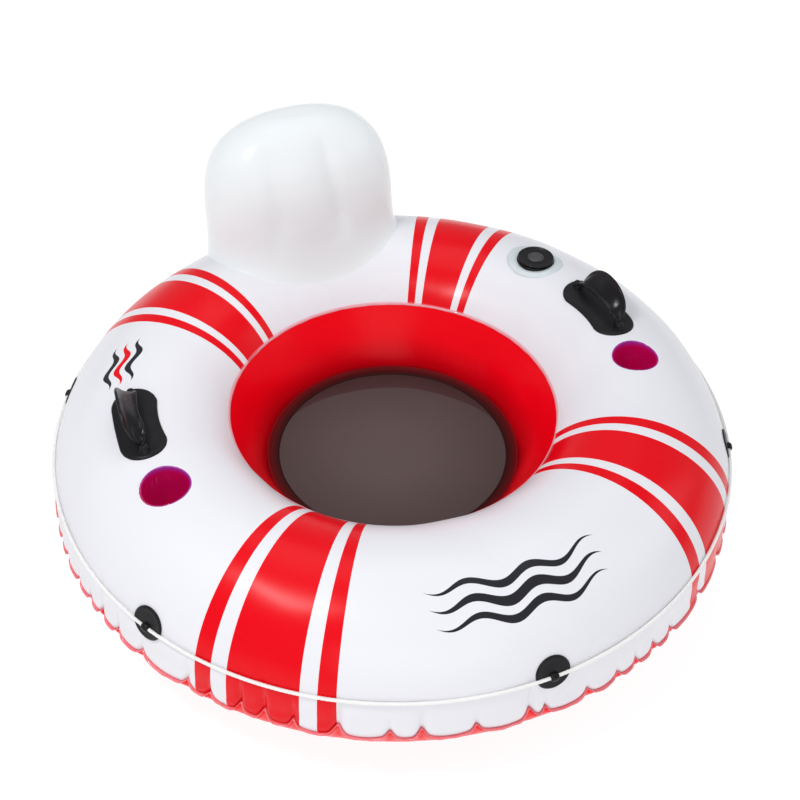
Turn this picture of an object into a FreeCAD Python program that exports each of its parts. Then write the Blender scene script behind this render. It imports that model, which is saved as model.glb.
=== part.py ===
"""Inflatable river tube: ring, mesh seat, backrest, handles, cup holders, valves and grab rope.

Frame: +Z up, the ring's axis is the Z axis, the floor is z = 0, the backrest stands at +Y.
A station on the ring is given by two angles: "around", measured from the backrest (+Y) towards -X,
and "section", measured in the ring's cross-section from straight outwards to the top. Units are mm.
"""
import FreeCAD, Part
import math
import os

V = FreeCAD.Vector

# ---- driving dimensions -------------------------------------------------------------------------
OUTER_RADIUS = 600.0          # ring, floor plan
SECTION_HALF_WIDTH = 169.0    # ring cross-section, an ellipse
SECTION_HALF_HEIGHT = 163.0
REST_HALF_WIDTH = 15.0        # flat band that the ring rests on
SKIN = 0.75                   # PVC sheet
INNER_SEAM = 146.9            # section angle of the seams, degrees
OUTER_SEAM = -10.6
MESH_RADIUS = 229.0           # where the mesh is welded to the inner wall
MESH_DROP = 20.0              # that weld below the ring's mid-plane
MESH_THICKNESS = 1.0
BORDER_WIDTH = 14.0
BORDER_THICKNESS = 1.2
SEAM_FLANGE = 8.8             # outer seam, across
SEAM_FLANGE_THICKNESS = 1.6
SEAM_LAP = 9.0                # inner seam, across
SEAM_LAP_THICKNESS = 0.6

ROPE_RADIUS = 3.0
ROPE_SECTION = 16.0
ROPE_STANDOFF = 0.3
GUIDE_SECTION = 18.0           # the disc sits a little above the rope
GUIDE_RADIUS = 29.0
GUIDE_THICKNESS = 2.2
BOSS_RADIUS = 7.5
BOSS_HALF_LENGTH = 7.0
BOSS_FILLET = 3.0
TUNNEL_CLEARANCE = 0.25
GUIDE_PLACES = {              # around
    "front": 180.9,
    "front_right": -117.9,
    "rear_right": -60.0,
    "rear": 0.0,
    "rear_left": 60.8,
    "front_left": 117.9}

KNOT_AROUND = 12.0            # the knot sits beside the rear guide
KNOT_HALF_ANGLE = 0.9
KNOT_RADIUS = 6.0
KNOT_TAIL = 22.0

CUP_PLACES = {1: (104.2, 452.0), -1: (-105.3, 431.0)}     # around, distance from the ring's axis
CUP_RADIUS = 40.0
CUP_DEPTH = 95.0
CUP_WALL = 0.8
CUP_FLANGE = 13.0
CUP_BASE_THICKNESS = 1.0

HANDLE_PLACES = {1: (84.5, 85.6), -1: (-85.8, 92.8)}      # around, section
PATCH_LOBE_RADIUS = 40.0
PATCH_LOBE_OFFSET = 46.0
PATCH_WAIST = 35.0            # half width in the middle, towards the rider
PATCH_BACK = 41.0             # half width in the middle, away from the rider
PATCH_THICKNESS = 3.0
PIN_RADIUS = 2.5
PIN_CLEARANCE = 0.06
PIN_HEIGHT = 8.5
EYE_RADIUS = 5.0
EYE_LENGTH = 8.0
EYE_GAP = 0.5
LUG_LENGTH = 11.0
LUG_RADIUS = 7.5
STRAP_REACH = 60.0            # from the handle's middle to each eye
STRAP_RISE = 38.0
STRAP_WIDTH = 40.0
STRAP_END_WIDTH = 8.0
STRAP_THICKNESS = 4.0
STRAP_LEAN = 15.0             # degrees out of the patch's normal
STRAP_TWIST = 66.0            # how far the middle of the strap turns towards the rider

VALVE_AROUND = -61.7
VALVE_SECTION = 89.0
COLLAR_RADIUS = 54.0
COLLAR_THICKNESS = 1.2
VALVE_FLANGE_RADIUS = 36.0
NECK_OUTER = 29.0
NECK_BORE = 25.0
NECK_DEPTH = 28.0
THREAD_CLEARANCE = 0.08
FLANGE_TOP = 2.6
GASKET_THICKNESS = 1.5
GASKET_RADIUS = 31.5
FLAP_RADIUS = 21.5
FLAP_SEAT = -22.0             # height of the flap's seat from the skin, along the valve's axis
FLAP_THICKNESS = 1.6
SEAT_LIP = 2.5
CAP_RADIUS = 34.5
CAP_PLATE = 2.2
CAP_RIM = 1.6
CAP_RIM_WIDTH = 4.5
CAP_PLUG_DEPTH = 20.0
CAP_PLUG_BORE = 21.5
DOME_SPHERE = 34.0
DOME_RADIUS = 17.5
DOME_HEIGHT = 5.2
GRIP_BAR = (26.0, 4.0, 3.8)

BACK_CENTRE = 471.0           # the backrest's middle, from the ring's axis
BACK_OFFSET = -7.0            # the backrest's middle, along X
BACK_WIDTH = 364.0
BACK_THICKNESS = 228.0
BACK_BOTTOM = 336.0
BACK_TOP = 583.0
BACK_CHANNEL = 62.0           # baffles, each side of the middle
BAFFLE_THICKNESS = 0.8
BAFFLE_START = 42.0           # above the backrest's bottom
BAFFLE_SHARE = 0.62           # of the backrest's height
BACK_ROUNDING = 2.3           # exponent of the oval; 2 is an ellipse
BACK_PROFILE = (              # share of the height, share of the half width, share of the half thickness
    (0.00, 0.95, 0.84),
    (0.16, 0.99, 0.96),
    (0.36, 1.00, 1.00),
    (0.56, 0.97, 0.96),
    (0.74, 0.87, 0.83),
    (0.88, 0.69, 0.62),
    (0.965, 0.46, 0.38),
    (1.00, 0.26, 0.20))
WELD_MARGIN = 8.0             # half the width of the oval weld under the backrest
WELD_THICKNESS = 0.8

STEM_SHARE = 0.30             # small valve, share of the backrest's height
STEM_RADIUS = 6.0
STEM_BORE = 4.0
STEM_DEPTH = 14.0
STEM_PROUD = 3.0
STEM_FLANGE = 13.0
PLUG_RADIUS = 7.5
PLUG_PIN = 2.7
PLUG_PIN_LENGTH = 5.0
PLUG_HINGE_OFFSET = 13.0

# ---- derived ------------------------------------------------------------------------------------
SECTION_RADIUS = OUTER_RADIUS - SECTION_HALF_WIDTH
MID = SECTION_HALF_HEIGHT * math.sqrt(1.0 - (REST_HALF_WIDTH / SECTION_HALF_WIDTH) ** 2)
RING_TOP = MID + SECTION_HALF_HEIGHT
MESH_HEIGHT = MID - MESH_DROP
ROPE_LIFT = ROPE_RADIUS + ROPE_STANDOFF
Z_AXIS = V(0, 0, 1)
ORIGIN = V(0, 0, 0)
FAR = 60.0                    # long enough to cut right through a skin


# ---- helpers ------------------------------------------------------------------------------------
def save(name, shape):
    if not shape.isValid():
        print("INVALID", name)
    shape.exportStep("parts/" + name + ".step")
    kinds = len(shape.Solids)
    print("%-28s solids %d volume %12.1f mm3" % (name, kinds, shape.Volume))


def ellipse_point(section, offset=0.0):
    """Radius and height of the ring's cross-section at a section angle."""
    a = math.radians(section)
    return (SECTION_RADIUS + (SECTION_HALF_WIDTH + offset) * math.cos(a),
            MID + (SECTION_HALF_HEIGHT + offset) * math.sin(a))


def ellipse_arc(start, end, offset=0.0):
    """Arc of the cross-section between two section angles, in the XZ plane."""
    flat = Part.Ellipse(V(SECTION_RADIUS, MID, 0), SECTION_HALF_WIDTH + offset, SECTION_HALF_HEIGHT + offset)
    edge = Part.ArcOfEllipse(flat, math.radians(start), math.radians(end)).toShape()
    edge.rotate(ORIGIN, V(1, 0, 0), 90)
    return edge


def xz_line(a, b):
    return Part.makeLine(V(a[0], 0, a[1]), V(b[0], 0, b[1]))


def revolved(edges):
    """Solid of revolution about the ring's axis from a closed outline in the XZ plane."""
    wire = Part.Wire(Part.__sortEdges__(edges))
    return Part.Face(wire).revolve(ORIGIN, Z_AXIS, 360)


def ring_solid(offset):
    """The full ring, grown by offset."""
    flat = Part.Ellipse(V(SECTION_RADIUS, MID, 0), SECTION_HALF_WIDTH + offset, SECTION_HALF_HEIGHT + offset)
    edge = flat.toShape()
    edge.rotate(ORIGIN, V(1, 0, 0), 90)
    return Part.Face(Part.Wire([edge])).revolve(ORIGIN, Z_AXIS, 360)


def station(around, section, lift=0.0):
    """Placement on the ring's surface: local x runs round the ring, y up the section, z is the normal."""
    a = math.radians(around)
    s = math.radians(section)
    radial = V(-math.sin(a), math.cos(a), 0)
    tangent = V(-math.cos(a), -math.sin(a), 0)
    normal = radial * (math.cos(s) / SECTION_HALF_WIDTH) + Z_AXIS * (math.sin(s) / SECTION_HALF_HEIGHT)
    normal.normalize()
    radius, height = ellipse_point(section)
    point = radial * radius + V(0, 0, height) + normal * lift
    return FreeCAD.Placement(point, FreeCAD.Rotation(tangent, normal.cross(tangent), normal, "ZXY"))


def placed(shape, placement):
    copy = shape.copy()
    copy.Placement = placement.multiply(copy.Placement)
    return copy


def conformal(prism, low, high):
    """The part of a prism that lies between two offsets of the ring's surface."""
    return prism.common(ring_solid(high)).cut(ring_solid(low))


def tube(outer, inner, low, high):
    body = Part.makeCylinder(outer, high - low, V(0, 0, low))
    return body.cut(Part.makeCylinder(inner, high - low + 2, V(0, 0, low - 1)))


# ---- skins --------------------------------------------------------------------------------------
def inner_wall_points(inset):
    """The red inner wall from the inner seam down to the flat resting band, moved inwards by inset."""
    seam = ellipse_point(INNER_SEAM)
    points = [seam,
              (255.0, MID + 35.0),
              (MESH_RADIUS, MESH_HEIGHT),
              (237.0, MID - 62.0),
              (262.0, MID - 104.0),
              (305.0, MID - 138.0),
              (358.0, MID - 156.5),
              (SECTION_RADIUS - REST_HALF_WIDTH, 0.0)]
    s = math.radians(INNER_SEAM)
    slopes = [(-SECTION_HALF_WIDTH * math.sin(s), SECTION_HALF_HEIGHT * math.cos(s))]
    slopes += [(c[0] - a[0], c[1] - a[1]) for a, c in zip(points, points[2:])]
    slopes.append((1.0, 0.0))
    moved = []
    for (r, z), (dr, dz) in zip(points, slopes):
        length = math.hypot(dr, dz)
        moved.append((r - dz / length * inset, z + dr / length * inset))
    return moved, slopes


def inner_wall_edge(inset):
    points, slopes = inner_wall_points(inset)
    curve = Part.BSplineCurve()
    first = V(slopes[0][0], 0, slopes[0][1])
    curve.interpolate([V(r, 0, z) for r, z in points],
                      InitialTangent=first.normalize(), FinalTangent=V(1, 0, 0))
    return curve.toShape(), points[0], points[-1]


def bottom_outline(inset):
    """Inner wall, resting band and lower outside of the ring as edges, with its two end points."""
    wall, start, band_start = inner_wall_edge(inset)
    rest_angle = -math.degrees(math.acos(REST_HALF_WIDTH / SECTION_HALF_WIDTH))
    arc = ellipse_arc(rest_angle, OUTER_SEAM, -inset)
    band_end = ellipse_point(rest_angle, -inset)
    return [wall, xz_line(band_start, band_end), arc], start, ellipse_point(OUTER_SEAM, -inset)


def bottom_skin():
    outside, start_out, end_out = bottom_outline(0.0)
    inside, start_in, end_in = bottom_outline(SKIN)
    return revolved(outside + inside + [xz_line(start_out, start_in), xz_line(end_out, end_in)])


def top_skin():
    ends = [xz_line(ellipse_point(s), ellipse_point(s, -SKIN)) for s in (OUTER_SEAM, INNER_SEAM)]
    skin = revolved([ellipse_arc(OUTER_SEAM, INNER_SEAM), ellipse_arc(OUTER_SEAM, INNER_SEAM, -SKIN)] + ends)
    for side in (1, -1):
        skin = skin.cut(cup_cylinder(side, CUP_RADIUS + CUP_WALL, RING_TOP - CUP_DEPTH, RING_TOP + 20))
    return skin.cut(valve_cylinder(NECK_OUTER, -FAR / 2, FAR / 2))


def seam_frame(section, offset):
    """A point on the seam with the directions along the cross-section and out of it."""
    radius, height = ellipse_point(section, offset)
    a = math.radians(section)
    out = V(math.cos(a) / SECTION_HALF_WIDTH, 0, math.sin(a) / SECTION_HALF_HEIGHT).normalize()
    return V(radius, 0, height), V(-out.z, 0, out.x), out


def seam_band(section, offset, half_along, half_out):
    """A band of rectangular section that runs round the ring on a seam."""
    centre, along, out = seam_frame(section, offset)
    corners = []
    for side, push in ((1, -1), (1, 1), (-1, 1), (-1, -1)):
        corners.append(centre + along * (side * half_along) + out * (push * half_out))
    edges = [Part.makeLine(a, b) for a, b in zip(corners, corners[1:] + corners[:1])]
    return revolved(edges)


def outer_seam_weld():
    """Flange that stands out from the ring, where the two sheets are welded edge to edge."""
    half = SEAM_FLANGE / 2
    flange = seam_band(OUTER_SEAM, half - 0.4, SEAM_FLANGE_THICKNESS / 2, half)
    return flange.cut(ring_solid(0.0))


def inner_seam_weld():
    """Strip that covers the lap of the two sheets inside the ring."""
    return seam_band(INNER_SEAM, SEAM_LAP_THICKNESS, SEAM_LAP / 2, SEAM_LAP_THICKNESS / 2)


# ---- seat ---------------------------------------------------------------------------------------
def mesh_floor():
    radius = MESH_RADIUS - BORDER_WIDTH / 4
    return Part.makeCylinder(radius, MESH_THICKNESS, V(0, 0, MESH_HEIGHT - MESH_THICKNESS))


def mesh_border():
    return tube(MESH_RADIUS - 0.05, MESH_RADIUS - BORDER_WIDTH, MESH_HEIGHT, MESH_HEIGHT + BORDER_THICKNESS)


# ---- rope and its guides ------------------------------------------------------------------------
def rope_circle():
    at = station(0.0, ROPE_SECTION, ROPE_LIFT).Base
    return math.hypot(at.x, at.y), at.z


def grab_rope():
    radius, height = rope_circle()
    sweep = 360.0 - 2 * KNOT_HALF_ANGLE
    rope = Part.makeTorus(radius, ROPE_RADIUS, V(0, 0, height), Z_AXIS, -180, 180, sweep)
    rope.rotate(ORIGIN, Z_AXIS, 90 + KNOT_AROUND + KNOT_HALF_ANGLE)
    return rope


def rope_knot():
    """Overhand lumps that join the rope's ends, with two short tails that point down."""
    radius, _ = rope_circle()
    half = radius * math.sin(math.radians(KNOT_HALF_ANGLE))
    body = Part.makeCylinder(KNOT_RADIUS, 2 * half, V(-half, 0, 0), V(1, 0, 0))
    body = body.makeFillet(KNOT_RADIUS * 0.65, body.Edges)
    tails = []
    for x in (-3.4, 3.4):
        tails.append(Part.makeCylinder(ROPE_RADIUS * 0.9, KNOT_TAIL, V(x, -2, 0), V(x * 0.12, -1, 0.05)))
    knot = body.fuse(tails).removeSplitter()
    return placed(knot, station(KNOT_AROUND, ROPE_SECTION, ROPE_LIFT + ROPE_RADIUS))


def rope_guide(around):
    """A disc on the skin with a short bridge that the rope runs through."""
    disc = placed(Part.makeCylinder(GUIDE_RADIUS, 24, V(0, 0, -12)), station(around, GUIDE_SECTION))
    disc = conformal(disc, 0.0, GUIDE_THICKNESS)
    at = station(around, ROPE_SECTION)
    boss_end = V(-BOSS_HALF_LENGTH, 0, ROPE_LIFT)
    boss = Part.makeCylinder(BOSS_RADIUS, 2 * BOSS_HALF_LENGTH, boss_end, V(1, 0, 0))
    boss = boss.makeFillet(BOSS_FILLET, boss.Edges)
    boss = placed(boss, at).cut(ring_solid(GUIDE_THICKNESS * 0.5))
    radius, height = rope_circle()
    tunnel = Part.makeTorus(radius, ROPE_RADIUS + TUNNEL_CLEARANCE, V(0, 0, height))
    return disc.fuse(boss).removeSplitter().cut(tunnel)


# ---- cup holders --------------------------------------------------------------------------------
def cup_cylinder(side, radius, low, high):
    around, distance = CUP_PLACES[side]
    a = math.radians(around)
    return Part.makeCylinder(radius, high - low, V(-math.sin(a) * distance, math.cos(a) * distance, low))


def cup_sleeve(side):
    low = RING_TOP - CUP_DEPTH
    outer = cup_cylinder(side, CUP_RADIUS + CUP_WALL, low, RING_TOP + 5)
    wall = outer.common(ring_solid(0.0))
    rim = cup_cylinder(side, CUP_RADIUS + CUP_FLANGE, low, RING_TOP + 5)
    flange = conformal(rim, -SKIN - CUP_WALL, -SKIN)
    bore = cup_cylinder(side, CUP_RADIUS, low - 5, RING_TOP + 10)
    return wall.fuse(flange).removeSplitter().cut(bore)


def cup_base(side):
    low = RING_TOP - CUP_DEPTH
    return cup_cylinder(side, CUP_RADIUS + CUP_WALL, low - CUP_BASE_THICKNESS, low)


# ---- handles ------------------------------------------------------------------------------------
def handle_place(side):
    """Local x runs along the handle, y points outwards from the rider, z is the patch's normal."""
    at = station(*HANDLE_PLACES[side])
    outward = at.Rotation.multVec(V(0, -1, 0))
    normal = at.Rotation.multVec(V(0, 0, 1))
    return FreeCAD.Placement(at.Base, FreeCAD.Rotation(outward.cross(normal), outward, normal, "ZXY"))


def patch_prism():
    """Two round lobes joined by a waisted middle, as a tall prism along local z."""
    reach = PATCH_LOBE_OFFSET
    lobe = PATCH_LOBE_RADIUS
    corners = [V(reach, lobe, 0), V(-reach, lobe, 0), V(-reach, -lobe, 0), V(reach, -lobe, 0)]
    middles = [V(0, PATCH_BACK, 0), V(-reach - lobe, 0, 0), V(0, -PATCH_WAIST, 0), V(reach + lobe, 0, 0)]
    edges = []
    for start, middle, end in zip(corners, middles, corners[1:] + corners[:1]):
        edges.append(Part.Arc(start, middle, end).toShape())
    face = Part.Face(Part.Wire(edges))
    face.translate(V(0, 0, -15))
    return face.extrude(V(0, 0, 30))


def handle_patch(side):
    """Patch with a rounded lug at each end; a pin points from each lug into the strap's eye."""
    at = handle_place(side)
    patch = conformal(placed(patch_prism(), at), 0.0, PATCH_THICKNESS)
    for end in (1, -1):
        face = V(end * (STRAP_REACH + EYE_LENGTH / 2 + EYE_GAP), 0, PIN_HEIGHT)
        base = V(face.x if end > 0 else face.x - LUG_LENGTH, -LUG_RADIUS, -5)
        lug = Part.makeBox(LUG_LENGTH, 2 * LUG_RADIUS, PIN_HEIGHT + 3, base)
        crown = Part.makeCylinder(LUG_RADIUS, LUG_LENGTH, face - V(0, 0, 2), V(end, 0, 0))
        pin = Part.makeCylinder(PIN_RADIUS, EYE_LENGTH, face, V(-end, 0, 0))
        lug = placed(lug.fuse([crown, pin]), at).cut(ring_solid(PATCH_THICKNESS * 0.5))
        patch = patch.fuse(lug)
    return patch.removeSplitter()


def strap_section(t):
    """One elliptical slice of the strap; t runs from 0 at one eye to 1 at the other."""
    angle = math.pi * t
    rise_dir = V(0, math.sin(math.radians(STRAP_LEAN)), math.cos(math.radians(STRAP_LEAN)))
    along = V(1, 0, 0)
    centre = along * (-STRAP_REACH * math.cos(angle)) + rise_dir * (STRAP_RISE * math.sin(angle))
    centre += V(0, 0, PIN_HEIGHT)
    path = along * (STRAP_REACH * math.sin(angle)) + rise_dir * (STRAP_RISE * math.cos(angle))
    path.normalize()
    across = V(0, math.cos(math.radians(STRAP_LEAN)), -math.sin(math.radians(STRAP_LEAN)))
    turn = FreeCAD.Rotation(path, STRAP_TWIST * math.sin(angle))
    across = turn.multVec(across)
    thick = path.cross(across)
    width = STRAP_END_WIDTH + (STRAP_WIDTH - STRAP_END_WIDTH) * math.sin(angle)
    ellipse = Part.Ellipse(centre + across * (width / 2), centre + thick * (STRAP_THICKNESS / 2), centre)
    return Part.Wire([ellipse.toShape()])


def handle_strap(side):
    slices = 11
    band = Part.makeLoft([strap_section(i / (slices - 1)) for i in range(slices)], True, False)
    for end in (1, -1):
        start = V(end * STRAP_REACH - EYE_LENGTH / 2, 0, PIN_HEIGHT)
        band = band.fuse(Part.makeCylinder(EYE_RADIUS, EYE_LENGTH, start, V(1, 0, 0)))
    for end in (1, -1):
        start = V(end * STRAP_REACH - EYE_LENGTH, 0, PIN_HEIGHT)
        band = band.cut(Part.makeCylinder(PIN_RADIUS + PIN_CLEARANCE, 2 * EYE_LENGTH, start, V(1, 0, 0)))
    return placed(band, handle_place(side))


# ---- main valve ---------------------------------------------------------------------------------
def valve_cylinder(radius, low, high):
    """Cylinder on the valve's axis; heights are measured from the skin."""
    return placed(Part.makeCylinder(radius, high - low, V(0, 0, low)), station(VALVE_AROUND, VALVE_SECTION))


def valve_tube(outer, inner, low, high):
    return valve_cylinder(outer, low, high).cut(valve_cylinder(inner, low - 1, high + 1))


def valve_collar():
    ring = conformal(valve_cylinder(COLLAR_RADIUS, -FAR / 3, FAR / 3), 0.0, COLLAR_THICKNESS)
    return ring.cut(valve_cylinder(NECK_OUTER, -FAR, FAR))


def valve_body():
    """Neck through the skin with a flange on top and, low in its bore, the flap's seat."""
    flange = valve_cylinder(VALVE_FLANGE_RADIUS, -FAR / 5, FLANGE_TOP).cut(ring_solid(COLLAR_THICKNESS))
    neck = valve_cylinder(NECK_OUTER - 0.02, -NECK_DEPTH, FLANGE_TOP)
    bore = valve_cylinder(NECK_BORE, FLAP_SEAT + 2, FAR)
    port = valve_cylinder(FLAP_RADIUS - SEAT_LIP, -FAR, FAR)
    below = valve_cylinder(NECK_BORE, -FAR, FLAP_SEAT)
    return flange.fuse(neck).removeSplitter().cut(bore).cut(port).cut(below)


def valve_flap():
    """A disc that closes the port from below and turns about its outer edge."""
    top = FLAP_SEAT - 0.05
    return valve_cylinder(FLAP_RADIUS, top - FLAP_THICKNESS, top)


def valve_gasket():
    return valve_tube(GASKET_RADIUS, NECK_BORE + 0.6, FLANGE_TOP, FLANGE_TOP + GASKET_THICKNESS)


def valve_cap():
    """Plate with a raised rim, a domed middle with a grip bar, and the hollow plug that screws in."""
    low = FLANGE_TOP + GASKET_THICKNESS
    plate = Part.makeCylinder(CAP_RADIUS, CAP_PLATE, V(0, 0, low))
    rim = tube(CAP_RADIUS, CAP_RADIUS - CAP_RIM_WIDTH, low + CAP_PLATE, low + CAP_PLATE + CAP_RIM)
    plug = tube(NECK_BORE - THREAD_CLEARANCE, CAP_PLUG_BORE, low - CAP_PLUG_DEPTH, low)
    dome = Part.makeSphere(DOME_SPHERE, V(0, 0, low + DOME_HEIGHT - DOME_SPHERE))
    dome = dome.common(Part.makeCylinder(DOME_RADIUS, FAR, V(0, 0, low + 1)))
    length, width, height = GRIP_BAR
    bar = Part.makeBox(length, width, height, V(-length / 2, -width / 2, low + 2))
    upright = [e for e in bar.Edges if abs(e.Vertexes[0].Z - e.Vertexes[1].Z) > 1]
    bar = bar.makeFillet(width * 0.4, upright)
    cap = plate.fuse([rim, plug, dome, bar]).removeSplitter()
    return placed(cap, station(VALVE_AROUND, VALVE_SECTION))


# ---- backrest -----------------------------------------------------------------------------------
def back_slice(share, wide, thick, inset):
    """A rounded oval at one height of the backrest."""
    height = BACK_TOP - BACK_BOTTOM - 2 * inset
    z = BACK_BOTTOM + inset + share * height
    half_width = BACK_WIDTH / 2 * wide - inset
    half_depth = BACK_THICKNESS / 2 * thick - inset
    count = 24
    points = []
    for i in range(count):
        a = 2 * math.pi * i / count
        x = half_width * math.copysign(abs(math.cos(a)) ** (2 / BACK_ROUNDING), math.cos(a))
        y = half_depth * math.copysign(abs(math.sin(a)) ** (2 / BACK_ROUNDING), math.sin(a))
        points.append(V(BACK_OFFSET + x, BACK_CENTRE + y, z))
    curve = Part.BSplineCurve()
    curve.interpolate(points, PeriodicFlag=True)
    return Part.Wire([curve.toShape()])


def back_solid(inset):
    return Part.makeLoft([back_slice(s, w, t, inset) for s, w, t in BACK_PROFILE], True, False)


def back_halves():
    """Front and rear PVC halves of the backrest's skin, split on its middle plane."""
    skin = back_solid(0.0).cut(back_solid(SKIN))
    box = Part.makeBox(600, 300, 400, V(-300, BACK_CENTRE - 300, BACK_BOTTOM - 50))
    stem_hole = placed(Part.makeCylinder(STEM_RADIUS, FAR, V(0, 0, -FAR / 2)), stem_place())
    return skin.common(box), skin.cut(box).cut(stem_hole)


def back_baffle(side):
    """Inner web that ties the front to the rear skin."""
    height = (BACK_TOP - BACK_BOTTOM) * BAFFLE_SHARE
    low = BACK_BOTTOM + BAFFLE_START
    corner = V(BACK_OFFSET + side * BACK_CHANNEL, BACK_CENTRE - BACK_THICKNESS / 2, low)
    web = Part.makeBox(BAFFLE_THICKNESS, BACK_THICKNESS, height, corner)
    return web.common(back_solid(SKIN))


def back_neck():
    """Flexible lower wall between the ring's top and the backrest."""
    share, wide, thick = BACK_PROFILE[0]
    outer = Part.Face(back_slice(share, wide, thick, 0.0)).extrude(V(0, 0, -150))
    inner = Part.Face(back_slice(share, wide, thick, SKIN)).extrude(V(0, 0, -152))
    return outer.cut(inner).cut(ring_solid(WELD_THICKNESS))


def back_base_weld():
    share, wide, thick = BACK_PROFILE[0]
    outer = Part.Face(back_slice(share, wide, thick, -WELD_MARGIN)).extrude(V(0, 0, -150))
    inner = Part.Face(back_slice(share, wide, thick, WELD_MARGIN)).extrude(V(0, 0, -150))
    return conformal(outer.cut(inner), 0.0, WELD_THICKNESS)


def stem_place():
    """Local z points straight back out of the backrest's rear face."""
    height = BACK_BOTTOM + STEM_SHARE * (BACK_TOP - BACK_BOTTOM)
    middle = V(BACK_OFFSET, BACK_CENTRE, height)
    probe = Part.makeLine(middle, middle + V(0, BACK_THICKNESS, 0))
    inside = probe.common(back_solid(0.0))
    rear = max(v.Point.y for v in inside.Vertexes)
    turn = FreeCAD.Rotation(V(1, 0, 0), V(0, 0, 1), V(0, 1, 0), "ZXY")
    return FreeCAD.Placement(V(BACK_OFFSET, rear, height), turn)


def back_stem():
    """Tube through the rear skin with a thin flange and the arm that carries the plug's strap."""
    stem = tube(STEM_RADIUS - 0.02, STEM_BORE, -STEM_DEPTH, STEM_PROUD)
    flange = tube(STEM_FLANGE, STEM_BORE, STEM_PROUD - 1.6, STEM_PROUD - 0.8)
    arm = Part.makeBox(5.0, 2.4, 2.0, V(-PLUG_HINGE_OFFSET - 2.5, -5.2, STEM_PROUD - 1.6))
    return placed(stem.fuse([flange, arm]).removeSplitter(), stem_place())


def back_plug():
    """Push-in plug on a short strap that bends beside the stem."""
    seat = STEM_PROUD + 0.1
    head = Part.makeCylinder(PLUG_RADIUS, 2.0, V(0, 0, seat))
    pin = Part.makeCylinder(PLUG_PIN, PLUG_PIN_LENGTH, V(0, 0, seat + 0.4 - PLUG_PIN_LENGTH))
    strap = Part.makeBox(PLUG_HINGE_OFFSET, 5.0, 1.2, V(-PLUG_HINGE_OFFSET, -2.5, seat + 0.5))
    return placed(head.fuse([pin, strap]).removeSplitter(), stem_place())


# ---- build --------------------------------------------------------------------------------------
def build():
    os.makedirs("parts", exist_ok=True)
    save("top_skin", top_skin())
    save("bottom_skin", bottom_skin())
    save("outer_seam_weld", outer_seam_weld())
    save("inner_seam_weld", inner_seam_weld())
    save("mesh_floor", mesh_floor())
    save("mesh_border", mesh_border())
    save("grab_rope", grab_rope())
    save("rope_knot", rope_knot())
    for name, around in GUIDE_PLACES.items():
        save("rope_guide_" + name, rope_guide(around))
    for side, word in ((1, "left"), (-1, "right")):
        save("cup_%s_sleeve" % word, cup_sleeve(side))
        save("cup_%s_base" % word, cup_base(side))
        save("handle_%s_patch" % word, handle_patch(side))
        save("handle_%s_strap" % word, handle_strap(side))
        save("backrest_baffle_" + word, back_baffle(-side))
    save("valve_collar", valve_collar())
    save("valve_body", valve_body())
    save("valve_flap", valve_flap())
    save("valve_gasket", valve_gasket())
    save("valve_cap", valve_cap())
    front, rear = back_halves()
    save("backrest_front_skin", front)
    save("backrest_rear_skin", rear)
    save("backrest_neck", back_neck())
    save("backrest_base_weld", back_base_weld())
    save("backrest_valve_stem", back_stem())
    save("backrest_valve_plug", back_plug())


build()
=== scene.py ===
import math
import random

import bmesh
import bpy
import numpy as np
from mathutils import Matrix, Vector


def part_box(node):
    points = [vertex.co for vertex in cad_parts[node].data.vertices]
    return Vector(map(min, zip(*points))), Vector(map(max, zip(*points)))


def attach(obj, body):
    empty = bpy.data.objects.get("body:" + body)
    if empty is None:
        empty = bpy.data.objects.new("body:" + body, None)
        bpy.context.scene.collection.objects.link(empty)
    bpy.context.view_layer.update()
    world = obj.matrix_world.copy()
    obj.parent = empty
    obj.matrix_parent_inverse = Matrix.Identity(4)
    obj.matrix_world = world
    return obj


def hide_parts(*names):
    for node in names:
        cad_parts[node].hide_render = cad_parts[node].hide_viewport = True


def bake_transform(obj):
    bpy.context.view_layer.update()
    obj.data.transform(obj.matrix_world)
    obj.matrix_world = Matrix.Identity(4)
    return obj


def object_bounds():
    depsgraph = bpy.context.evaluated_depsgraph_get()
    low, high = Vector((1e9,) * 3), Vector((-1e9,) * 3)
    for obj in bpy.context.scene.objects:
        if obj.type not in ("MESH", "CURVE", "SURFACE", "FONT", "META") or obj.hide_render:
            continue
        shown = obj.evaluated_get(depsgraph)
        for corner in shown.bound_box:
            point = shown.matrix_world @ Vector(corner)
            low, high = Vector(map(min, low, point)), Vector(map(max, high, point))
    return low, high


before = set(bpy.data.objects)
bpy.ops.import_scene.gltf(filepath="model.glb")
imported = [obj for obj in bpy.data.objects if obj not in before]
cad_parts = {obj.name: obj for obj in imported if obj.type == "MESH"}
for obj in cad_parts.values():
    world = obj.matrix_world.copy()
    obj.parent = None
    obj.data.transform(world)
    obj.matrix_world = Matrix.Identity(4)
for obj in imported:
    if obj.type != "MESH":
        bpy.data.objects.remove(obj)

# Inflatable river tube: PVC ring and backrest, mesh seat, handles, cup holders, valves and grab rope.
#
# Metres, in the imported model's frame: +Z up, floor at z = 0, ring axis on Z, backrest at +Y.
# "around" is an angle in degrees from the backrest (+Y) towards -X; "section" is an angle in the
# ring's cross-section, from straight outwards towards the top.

CAD_LOW, CAD_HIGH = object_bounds()
random.seed(7)

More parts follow.
